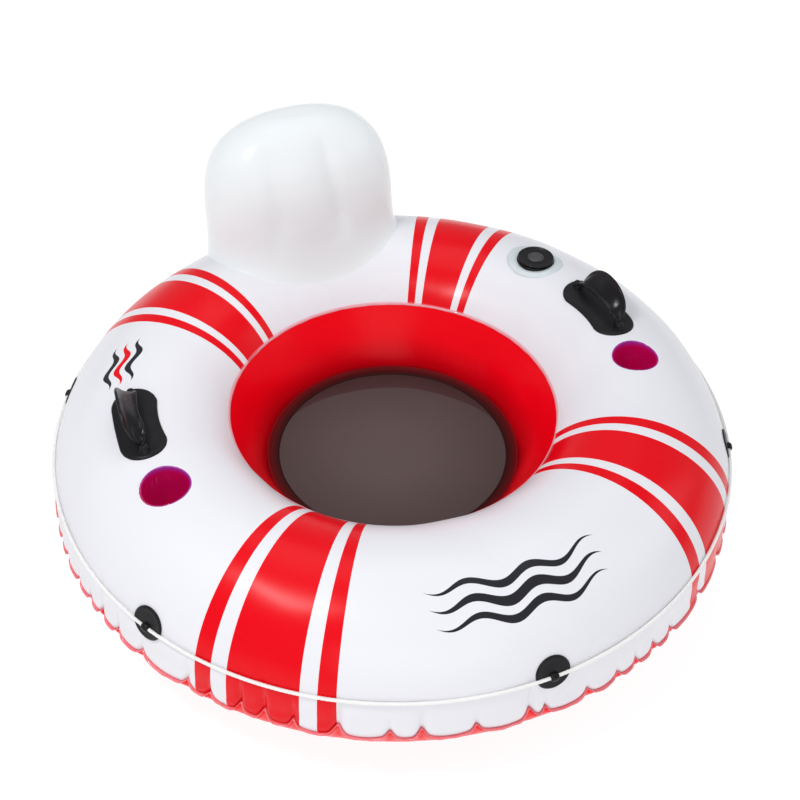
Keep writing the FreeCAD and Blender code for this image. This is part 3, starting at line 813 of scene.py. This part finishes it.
def build_knot():
    """Overhand knot with two tails, where the rope's ends meet."""
    matrix = station(KNOT_AROUND, ROPE_SECTION, ROPE_LIFT + 0.003)
    loop = []
    for t in turns(90):
        x = (math.sin(t) + 2 * math.sin(2 * t)) * 0.0030
        y = (math.cos(t) - 2 * math.cos(2 * t)) * 0.0026
        z = -math.sin(3 * t) * 0.0026 + 0.001
        loop.append(matrix @ Vector((x, y, z)))
    parts = [rope_tube(loop, ROPE_RADIUS * 0.9, closed=True)]
    for x, lean in ((-0.0034, -0.10), (0.0034, 0.16)):
        reaches = [0.024 * i / 13 for i in range(14)]
        tail = [matrix @ Vector((x + lean * d, 0.002 + d, 0.0006 - 2.7 * d * d)) for d in reaches]
        parts.append(rope_tube(tail, ROPE_RADIUS * 0.9))
    finish_piece(make_object("rope_end_knot", *joined(parts), MAT["rope"]), "ring", "rope", "rope_knot")


def conformal_ring(matrix, profile, segments=72, edge=None):
    """Ring on the skin with an open middle: profile gives (radius, height) from the inside outwards.

    An edge, one distance for each direction, turns the profile's radii into shares of that distance.
    """
    verts = []
    for r, height in profile:
        for a, reach in zip(turns(segments), edge or [1.0] * segments):
            verts.append(wrap(matrix, r * reach * math.cos(a), r * reach * math.sin(a), height))
    return verts, flipped(grid_faces(len(profile), segments, wrap_cols=True))


def conformal_disc(matrix, profile, segments=72, edge=None):
    """The same, closed by a point in the middle at the first height of the profile."""
    verts = conformal_ring(matrix, profile[1:], segments, edge)[0]
    return [wrap(matrix, 0.0, 0.0, profile[0][1])] + verts, disc_faces(len(profile) - 1, segments)


GUIDE_SECTION = 18.0
GUIDE_PLACES = {"front": 180.9, "front_right": -117.9, "rear_right": -60.0, "rear": 0.0,
                "rear_left": 60.8, "front_left": 117.9}


def rope_bridge(matrix):
    """Rounded bridge over the rope, its feet sunk into the guide's disc."""
    half_length, radius = 0.0072, 0.0066
    rows, cols = 19, 21
    verts = []
    for i in range(rows):
        u = -1 + 2 * i / (rows - 1)
        scale = (1 - abs(u) ** 3.2) ** 0.45
        for j in range(cols):
            b = math.pi * (-0.18 + 1.36 * j / (cols - 1))
            y = radius * math.cos(b) * (0.35 + 0.65 * scale) * 1.08
            z = ROPE_LIFT + radius * math.sin(b) * (0.30 + 0.70 * scale) * 0.98
            verts.append(matrix @ Vector((u * half_length, y, z)))
    return verts, flipped(grid_faces(rows, cols) + [row_face(0, cols), row_face(rows - 1, cols)[::-1]])


def build_guides():
    profile = [(0.0, 0.0020), (0.008, 0.0021), (0.016, 0.0020), (0.0225, 0.0019), (0.0240, 0.0024),
               (0.0262, 0.0027), (0.0280, 0.0022), (0.0288, 0.0012), (0.0290, -0.0004)]
    for name, around in GUIDE_PLACES.items():
        disc = conformal_disc(station(around, GUIDE_SECTION), profile)
        bridge = rope_bridge(station(around, ROPE_SECTION))
        guide = make_object(f"rope_guide_disc_{name}", *joined([disc, bridge]), MAT["rubber"])
        finish_piece(guide, "ring", "black_rubber", f"rope_guide_{name}")


# ---- cup holders ----
def cup_pleat(angle):
    """Share of the radius by which the sleeve folds inwards at an angle."""
    fold = 0.0
    for centre, size in ((-0.9, 0.045), (-0.55, 0.03), (1.9, 0.025), (3.6, 0.03), (-1.75, 0.025)):
        delta = (angle - centre + math.pi) % (2 * math.pi) - math.pi
        fold += size * math.exp(-(delta / 0.075) ** 2)
    return fold


def build_cups():
    segments = 192
    floor = TOP_HIGH[2] - CUP_DEPTH
    wall = CUP_RADIUS - 0.0012
    # Rim: radius and height over the skin. Sleeve: radius and share of its height over the floor.
    rim = [(CUP_RADIUS + 0.0030, -0.0016), (CUP_RADIUS + 0.0012, 0.0002), (CUP_RADIUS, 0.0005),
           (CUP_RADIUS - 0.0010, -0.0004), (CUP_RADIUS - 0.0012, -0.0030)]
    sleeve = [(wall, 0.93), (wall, 0.8), (wall, 0.6), (wall - 0.0004, 0.4), (wall, 0.2), (wall, 0.08),
              (wall - 0.001, 0.03), (wall - 0.004, 0.006), (wall - 0.009, 0.0), (wall * 0.5, 0.004),
              (0.004, 0.010)]
    rows = len(rim) + len(sleeve)
    for word, place in CUP_PLACES.items():
        cx, cy = spot(*place)
        verts = []
        for r, over in rim:
            for b in turns(segments):
                x = cx + r * math.cos(b)
                y = cy + r * math.sin(b)
                verts.append((x, y, ring_height(x, y) + over))
        for radius, share in sleeve:
            z = floor + share * (CUP_DEPTH - 0.004)
            for b in turns(segments):
                pleat = cup_pleat(b) * share * (1 - share) * 4
                r = radius * (1 + 0.004 * math.sin(5 * b + share * 9) - pleat)
                verts.append((cx + r * math.cos(b), cy + r * math.sin(b), z))
        faces = grid_faces(rows, segments, wrap_cols=True) + [row_face(rows - 1, segments)]
        cup = make_object(f"cup_{word}_lining", verts, faces, MAT["cup"])
        finish_piece(cup, "ring", "cup_pvc", f"cup_{word}_sleeve", f"cup_{word}_base")


# ---- handles ----
STRAP_REACH = 0.060
STRAP_RISE = 0.038
STRAP_WIDTH = 0.046
STRAP_END_WIDTH = 0.008
STRAP_LEAN = math.radians(15.0)
STRAP_TWIST = math.radians(66.0)
PIN_HEIGHT = 0.0085
PATCH_LOBE = 0.040
PATCH_REACH = 0.046
PATCH_WAIST = 0.035                      # half width in the middle, towards the rider
PATCH_BACK = 0.041                       # half width in the middle, away from the rider


def patch_outline(share):
    """Distance from the patch's middle to its edge in a direction; share runs once round."""
    a = 2 * math.pi * share
    low, high = 0.0, 0.2
    for _ in range(40):
        r = (low + high) / 2
        u, v = abs(r * math.cos(a)), r * math.sin(a)
        middle = PATCH_BACK if v > 0 else PATCH_WAIST
        if u > PATCH_REACH:
            inside = math.hypot(u - PATCH_REACH, v) < PATCH_LOBE
        else:
            inside = abs(v) < middle + (PATCH_LOBE - middle) * (u / PATCH_REACH) ** 2
        low, high = (r, high) if inside else (low, r)
    return low


def patch_mesh(matrix):
    """Moulded patch with a rounded edge and a shallow raised border."""
    segments = 160
    edge = [patch_outline(k / segments) for k in range(segments)]
    profile = [(0.0, 0.0030), (0.12, 0.0030), (0.3, 0.0030), (0.5, 0.0029), (0.7, 0.0028), (0.84, 0.0027),
               (0.88, 0.0031), (0.93, 0.0034), (0.965, 0.0031), (0.988, 0.0020), (0.998, 0.0008),
               (1.0, -0.0006)]
    return conformal_disc(matrix, profile, segments, edge)


def lug_mesh(matrix, end):
    """Rounded lug with a pin that points to the strap's eye."""
    lug = [(0.0066, 0.0), (0.0074, 0.0008), (0.0075, 0.004), (0.0075, 0.0085), (0.0070, 0.0100),
           (0.0055, 0.0110)]
    foot = [(0.0105, -0.004), (0.0100, 0.0006), (0.0090, 0.0022), (0.0076, 0.0045), (0.0070, 0.0070)]
    pin = [(0.0024, -0.0075), (0.0024, 0.002)]
    start = STRAP_REACH + 0.0045
    turn = Matrix.Rotation(math.radians(90 * end), 4, "Y")
    lug_place = Matrix.Translation((end * start, 0, PIN_HEIGHT - 0.002)) @ turn
    foot_place = Matrix.Translation((end * (start + 0.0055), 0, 0.0008))
    pin_place = Matrix.Translation((end * start, 0, PIN_HEIGHT)) @ turn
    return joined([moved(lathe(lug, 32), matrix @ lug_place), moved(lathe(foot, 32), matrix @ foot_place),
                   moved(lathe(pin, 24), matrix @ pin_place)])


def strap_frame(t):
    """Centre, width direction and thickness direction of the strap; t runs from eye to eye."""
    c, s = math.cos(math.pi * t), math.sin(math.pi * t)
    rise = Vector((0, math.sin(STRAP_LEAN), math.cos(STRAP_LEAN)))
    centre = Vector((-STRAP_REACH * c, 0, PIN_HEIGHT)) + rise * (STRAP_RISE * s)
    path = (Vector((STRAP_REACH * s, 0, 0)) + rise * (STRAP_RISE * c)).normalized()
    level = Vector((0, math.cos(STRAP_LEAN), -math.sin(STRAP_LEAN)))
    across = Matrix.Rotation(STRAP_TWIST * s, 3, path) @ level
    return centre, across, path.cross(across)


def strap_outline(width):
    """Closed section of the strap: a thin web between two rolled edges."""
    bead = min(0.0027, width * 0.32)
    web = bead * 0.42
    half = width / 2 - bead
    inner = max(half - bead * 0.9, half * 0.3)
    points = []
    for k in range(9):
        b = math.radians(-125 + 250 * k / 8)
        points.append((half + bead * math.cos(b), bead * math.sin(b)))
    for k in range(5):
        x = 1 - 2 * k / 4
        points.append((inner * x, web * (0.75 + 0.25 * x ** 2)))
    return points + [(-x, -y) for x, y in points]


def strap_mesh(matrix):
    rows = 64
    cols = len(strap_outline(STRAP_WIDTH))
    verts = []
    for i in range(rows):
        t = i / (rows - 1)
        centre, across, thick = strap_frame(t)
        width = STRAP_END_WIDTH + (STRAP_WIDTH - STRAP_END_WIDTH) * math.sin(math.pi * t) ** 0.8
        verts += [matrix @ (centre + across * x + thick * y) for x, y in strap_outline(width)]
    faces = grid_faces(rows, cols, wrap_cols=True) + [row_face(0, cols)[::-1], row_face(rows - 1, cols)]
    parts = [(verts, flipped(faces))]
    eye = [(0.0030, -0.0040), (0.0044, -0.0040), (0.0050, -0.0034), (0.0052, 0.0), (0.0050, 0.0034),
           (0.0044, 0.0040), (0.0030, 0.0040)]
    turn = Matrix.Rotation(math.radians(90), 4, "Y")
    for end in (1, -1):
        place = Matrix.Translation((end * STRAP_REACH, 0, PIN_HEIGHT))
        parts.append(moved(lathe_ring(eye, 28), matrix @ place @ turn))
    return joined(parts)


def build_handles():
    for word, place in HANDLE_PLACES.items():
        matrix = station(*place)
        patch = joined([patch_mesh(matrix), lug_mesh(matrix, 1), lug_mesh(matrix, -1)])
        base = make_object(f"handle_{word}_base", *patch, MAT["rubber"])
        finish_piece(base, "ring", "black_rubber", f"handle_{word}_patch")
        strap = make_object(f"handle_{word}_grip", *strap_mesh(matrix), MAT["shiny"])
        finish_piece(strap, f"handle_{word}_strap_body", "black_rubber", f"handle_{word}_strap")


# ---- main valve ----
CAP_HEIGHT = 0.0041                      # underside of the cap's flange over the skin
COLLAR = ((0.0292, -0.0004), (0.0292, 0.0010), (0.038, 0.0012), (0.0405, 0.0022), (0.0430, 0.0023),
          (0.0450, 0.0013), (0.0500, 0.0012), (0.0530, 0.0010), (0.0540, 0.0003), (0.0541, -0.0004))
NECK = ((0.0250, -0.028), (0.0290, -0.028), (0.0290, -0.006), (0.0352, -0.0062), (0.0360, -0.0045),
        (0.0360, 0.0012), (0.0356, 0.0021), (0.0346, 0.0026), (0.0250, 0.0026))
# The cap's profiles give heights over the underside of its flange.
CAP = ((0.0215, -0.018), (0.0249, -0.018), (0.0249, 0.0), (0.0338, 0.0), (0.0345, 0.0006), (0.0345, 0.0032),
       (0.0341, 0.0037), (0.0333, 0.0038), (0.0315, 0.0038), (0.0306, 0.0035), (0.0302, 0.0030),
       (0.0296, 0.0024), (0.0286, 0.0022), (0.0215, 0.0022), (0.0200, 0.0022), (0.0165, 0.0019))
DOME = ((0.0160, 0.0019), (0.0158, 0.0027), (0.0150, 0.0035), (0.0130, 0.0042), (0.0100, 0.0048),
        (0.0060, 0.0052), (0.0006, 0.0053))


def cap_bar():
    """Rounded bar across the dome, to turn the cap by."""
    rows, cols = 17, 9
    verts = []
    for i in range(rows):
        u = -1 + 2 * i / (rows - 1)
        half = 0.0026 * (1 - abs(u) ** 5) ** 0.5 + 0.0001
        for k in range(cols):
            b = math.pi * k / (cols - 1)
            verts.append(Vector((u * 0.0130, half * math.cos(b), 0.0020 + 0.0040 * math.sin(b) ** 0.7)))
    return verts, grid_faces(rows, cols) + [row_face(0, cols), row_face(rows - 1, cols)[::-1]]


def build_valve():
    matrix = station(VALVE_AROUND, VALVE_SECTION)
    collar = make_object("valve_clear_collar", *conformal_ring(matrix, COLLAR, 96), MAT["clear"])
    finish_piece(collar, "ring", "clear_pvc", "valve_collar")
    neck = make_object("valve_neck", *moved(lathe_ring(NECK, 96), matrix), MAT["plastic"])
    finish_piece(neck, "ring", "black_plastic", "valve_body")
    place = matrix @ Matrix.Translation((0, 0, CAP_HEIGHT))
    verts, faces = lathe(CAP, 128, close_ends=False)
    faces.append(row_face(len(CAP) - 1, 128))
    cap = make_object("valve_screw_cap", *moved((verts, faces), place), MAT["plastic"])
    finish_piece(cap, "valve_cap_body", "black_plastic", "valve_cap")
    for name, part in (("valve_cap_dome", lathe(DOME, 96)), ("valve_cap_grip", cap_bar())):
        piece = make_object(name, *moved(part, place), MAT["dome"])
        finish_piece(piece, "valve_cap_body", "black_plastic")


# ---- backrest ----
BACK_OFFSET = -0.007
BACK_HALF_WIDTH = 0.182
BACK_HALF_DEPTH = 0.114
BACK_BOTTOM = 0.336
BACK_TOP = CAD_HIGH[2]
BACK_ROUNDING = 2.3
# Share of the height, of the width and of the depth.
BACK_PROFILE = ((0.00, 1.015, 1.00), (0.16, 1.015, 1.02), (0.36, 1.005, 1.02), (0.56, 0.965, 0.97),
                (0.74, 0.87, 0.84), (0.88, 0.69, 0.62), (0.965, 0.46, 0.38), (1.00, 0.26, 0.20),
                (1.006, 0.06, 0.05))
VALLEY_HEIGHT = 0.55
VALLEYS = {"left": (-0.080, 0.03, 0.0105, 0.026),     # x at VALLEY_HEIGHT, slant, depth, width
           "right": (0.022, 0.148, 0.0155, 0.018)}
FOOT_SHIFT = 0.006                       # the foot stands this far to the right of the middle
SINK = 0.0010                            # how far the foot's edge lies in the ring's skin
FLARE_SIDE = 0.009                      # how far the foot spreads over the ring
FLARE_FRONT = 0.030


def back_valley(x, z):
    """How far the front is pulled in along the two inner webs."""
    depth = 0.0
    for top, slant, size, width in VALLEYS.values():
        line = top + (VALLEY_HEIGHT - z) * slant
        length = smoothstep(0.345, 0.420, z) * smoothstep(0.590, 0.520, z)
        depth += size / (1 + ((x - line) / width) ** 2) * length
    return depth


def back_oval(angle, wide, thick, spread=0.0):
    """x and y on the cushion's rounded outline at shares of its width and depth."""
    c, s = math.cos(angle), math.sin(angle)
    x = (BACK_HALF_WIDTH * wide + spread) * math.copysign(abs(c) ** (2 / BACK_ROUNDING), c)
    y = (BACK_HALF_DEPTH * thick + spread) * math.copysign(abs(s) ** (2 / BACK_ROUNDING), s)
    return BACK_OFFSET + x, BACK_CENTRE + y


def back_point(angle, t):
    """A point on the cushion; t runs from its bottom to its top."""
    share, wide, thick = hermite(BACK_PROFILE, (0.16, 0.06, 0.14), (0.002, -0.16, -0.12), t)
    x, y = back_oval(angle, wide, thick)
    x += FOOT_SHIFT * (1 - share) ** 2
    return Vector((x, y, BACK_BOTTOM + share * (BACK_TOP - BACK_BOTTOM)))


def foot_point(angle, t, start):
    """A point on the flared foot; t runs from the ring's skin up to back_point(angle, start)."""
    spread = FLARE_SIDE + (FLARE_FRONT - FLARE_SIDE) * max(0.0, -math.sin(angle)) ** 1.5
    x, y = back_oval(angle, 1.005, 1.0, spread)
    x += FOOT_SHIFT
    foot = Vector((x, y, ring_height(x, y) - SINK))
    head = back_point(angle, start)
    inward = Vector((head.x - x, head.y - y, 0))
    probe = foot + inward * 0.3
    inward.z = (ring_height(probe.x, probe.y) - SINK - foot.z) / 0.3
    rise = (back_point(angle, start + 0.02) - head) / 0.02 * 0.18
    return cubic(foot, inward * 1.5, head, rise, t)


def build_backrest():
    around_steps, up_steps, foot_steps = 192, 70, 18
    start = 0.11
    angles = turns(around_steps)
    verts = [foot_point(b, i / foot_steps, start) for i in range(foot_steps) for b in angles]
    for i in range(up_steps):
        t = start + (1 - start) * i / (up_steps - 1)
        verts += [back_point(b, t) for b in angles]
    for vert in verts:
        front = smoothstep(0.02, 0.07, BACK_CENTRE - vert.y)
        rear = smoothstep(0.02, 0.07, vert.y - BACK_CENTRE)
        vert.y += back_valley(vert.x, vert.z) * (front - 0.6 * rear)
    rows = foot_steps + up_steps
    faces = grid_faces(rows, around_steps, wrap_cols=True) + [row_face(rows - 1, around_steps)]
    obj = make_object("backrest_cushion", verts, faces, MAT["back"])
    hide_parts("backrest_front_skin", "backrest_rear_skin", "backrest_neck", "backrest_base_weld")
    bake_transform(obj)


def build_webs():
    """The two inner webs that hold the cushion flat, each along its own valley."""
    steps, half_thick, wave = 24, 0.0004, 0.0015
    low, high = BACK_BOTTOM + 0.052, BACK_BOTTOM + 0.175
    for side, (top, slant, size, _) in VALLEYS.items():
        middle = []
        for i in range(steps + 1):
            z = low + (high - low) * i / steps
            x = top + (VALLEY_HEIGHT - z) * slant
            share = (z - BACK_BOTTOM) / (BACK_TOP - BACK_BOTTOM)
            round_off = max(0.0, 1 - (abs(x - BACK_OFFSET) / BACK_HALF_WIDTH) ** BACK_ROUNDING)
            reach = BACK_HALF_DEPTH * (1 - share ** 3) * round_off ** (1 / BACK_ROUNDING) - size - 0.014
            for k in range(steps + 1):
                u = -1 + 2 * k / steps
                bend = wave * math.sin(3 * math.pi * u) * (1 - share)
                middle.append(Vector((x + bend, BACK_CENTRE + reach * u, z)))
        count = len(middle)
        verts = [v + Vector((shift, 0, 0)) for shift in (-half_thick, half_thick) for v in middle]
        sheet = grid_faces(steps + 1, steps + 1)
        edge = list(range(steps)) + [steps + i * (steps + 1) for i in range(steps)]
        edge += [count - 1 - i for i in edge]
        faces = flipped(sheet) + [tuple(count + i for i in f) for f in sheet]
        faces += [(a, b, b + count, a + count) for a, b in zip(edge, edge[1:] + edge[:1])]
        web = make_object(f"backrest_web_{side}", verts, faces, MAT["back"], smooth=False)
        finish_piece(web, "backrest", "white_pvc", f"backrest_baffle_{side}")


# ---- stage ----
CAMERA_PLACE = Vector((-0.672, -1.541, 1.795))
CAMERA_TARGET = Vector((0.055, 0.097, 0.162))
CAMERA_ROLL = math.radians(1.43)
CAMERA_LENS = 57.9


def build_camera():
    data = bpy.data.cameras.new("camera")
    data.lens = CAMERA_LENS
    data.sensor_width = 36.0
    camera = bpy.data.objects.new("camera", data)
    bpy.context.scene.collection.objects.link(camera)
    look = (CAMERA_TARGET - CAMERA_PLACE).to_track_quat("-Z", "Y").to_matrix().to_4x4()
    camera.matrix_world = Matrix.Translation(CAMERA_PLACE) @ look @ Matrix.Rotation(CAMERA_ROLL, 4, "Z")
    bpy.context.scene.camera = camera


def area_light(name, place, target, size, energy):
    data = bpy.data.lights.new(name, "AREA")
    data.shape = "RECTANGLE"
    data.size, data.size_y = size
    data.energy = energy
    obj = bpy.data.objects.new(name, data)
    bpy.context.scene.collection.objects.link(obj)
    turn = (Vector(target) - Vector(place)).to_track_quat("-Z", "Y").to_matrix().to_4x4()
    obj.matrix_world = Matrix.Translation(place) @ turn


def build_stage():
    nodes = Nodes("studio_floor")
    nodes.base(nodes.mix(nodes.noise(0.8, 1.0), (0.20, 0.20, 0.20), (0.22, 0.22, 0.22)))
    nodes.set(glow_colour=(1.0, 1.0, 1.0, 1.0), glow=0.90, rough=0.9, specular=0.0)
    size, drop = 14.0, -0.0005
    verts = [(-size, -size, drop), (size, -size, drop), (size, size, drop), (-size, size, drop)]
    floor = make_object("studio_floor", verts, [(0, 1, 2, 3)], nodes.material, smooth=False)
    world = bpy.data.worlds.new("studio")
    world.use_nodes = True
    background = world.node_tree.nodes["Background"]
    background.inputs[0].default_value = (0.95, 0.96, 1.0, 1.0)
    background.inputs[1].default_value = 0.45
    bpy.context.scene.world = world
    area_light("softbox_top", (-1.25, -0.38, 2.5), (-0.1, 0, 0.1), (0.75, 0.30), 28)
    area_light("softbox_rear", (0.5, 0.9, 2.7), (0.1, 0.1, 0.1), (1.8, 1.6), 12)
    area_light("softbox_front", (-0.9, -3.1, 1.5), (0, 0.2, 0.3), (2.4, 1.8), 27)
    area_light("softbox_right", (2.6, -0.9, 1.7), (0, 0, 0.2), (1.6, 1.4), 9)
    bpy.context.scene.view_settings.view_transform = "Standard"


build_camera()
build_ring()
build_outer_flange()
build_inner_lap()
build_seat()
build_rope()
build_knot()
build_guides()
build_cups()
build_handles()
build_valve()
build_backrest()
build_webs()
build_stage()
for node, look in (("valve_gasket", "rubber"), ("valve_flap", "rubber"), ("backrest_valve_stem", "clear"),
                   ("backrest_valve_plug", "clear")):
    repaint(node, MAT[look])
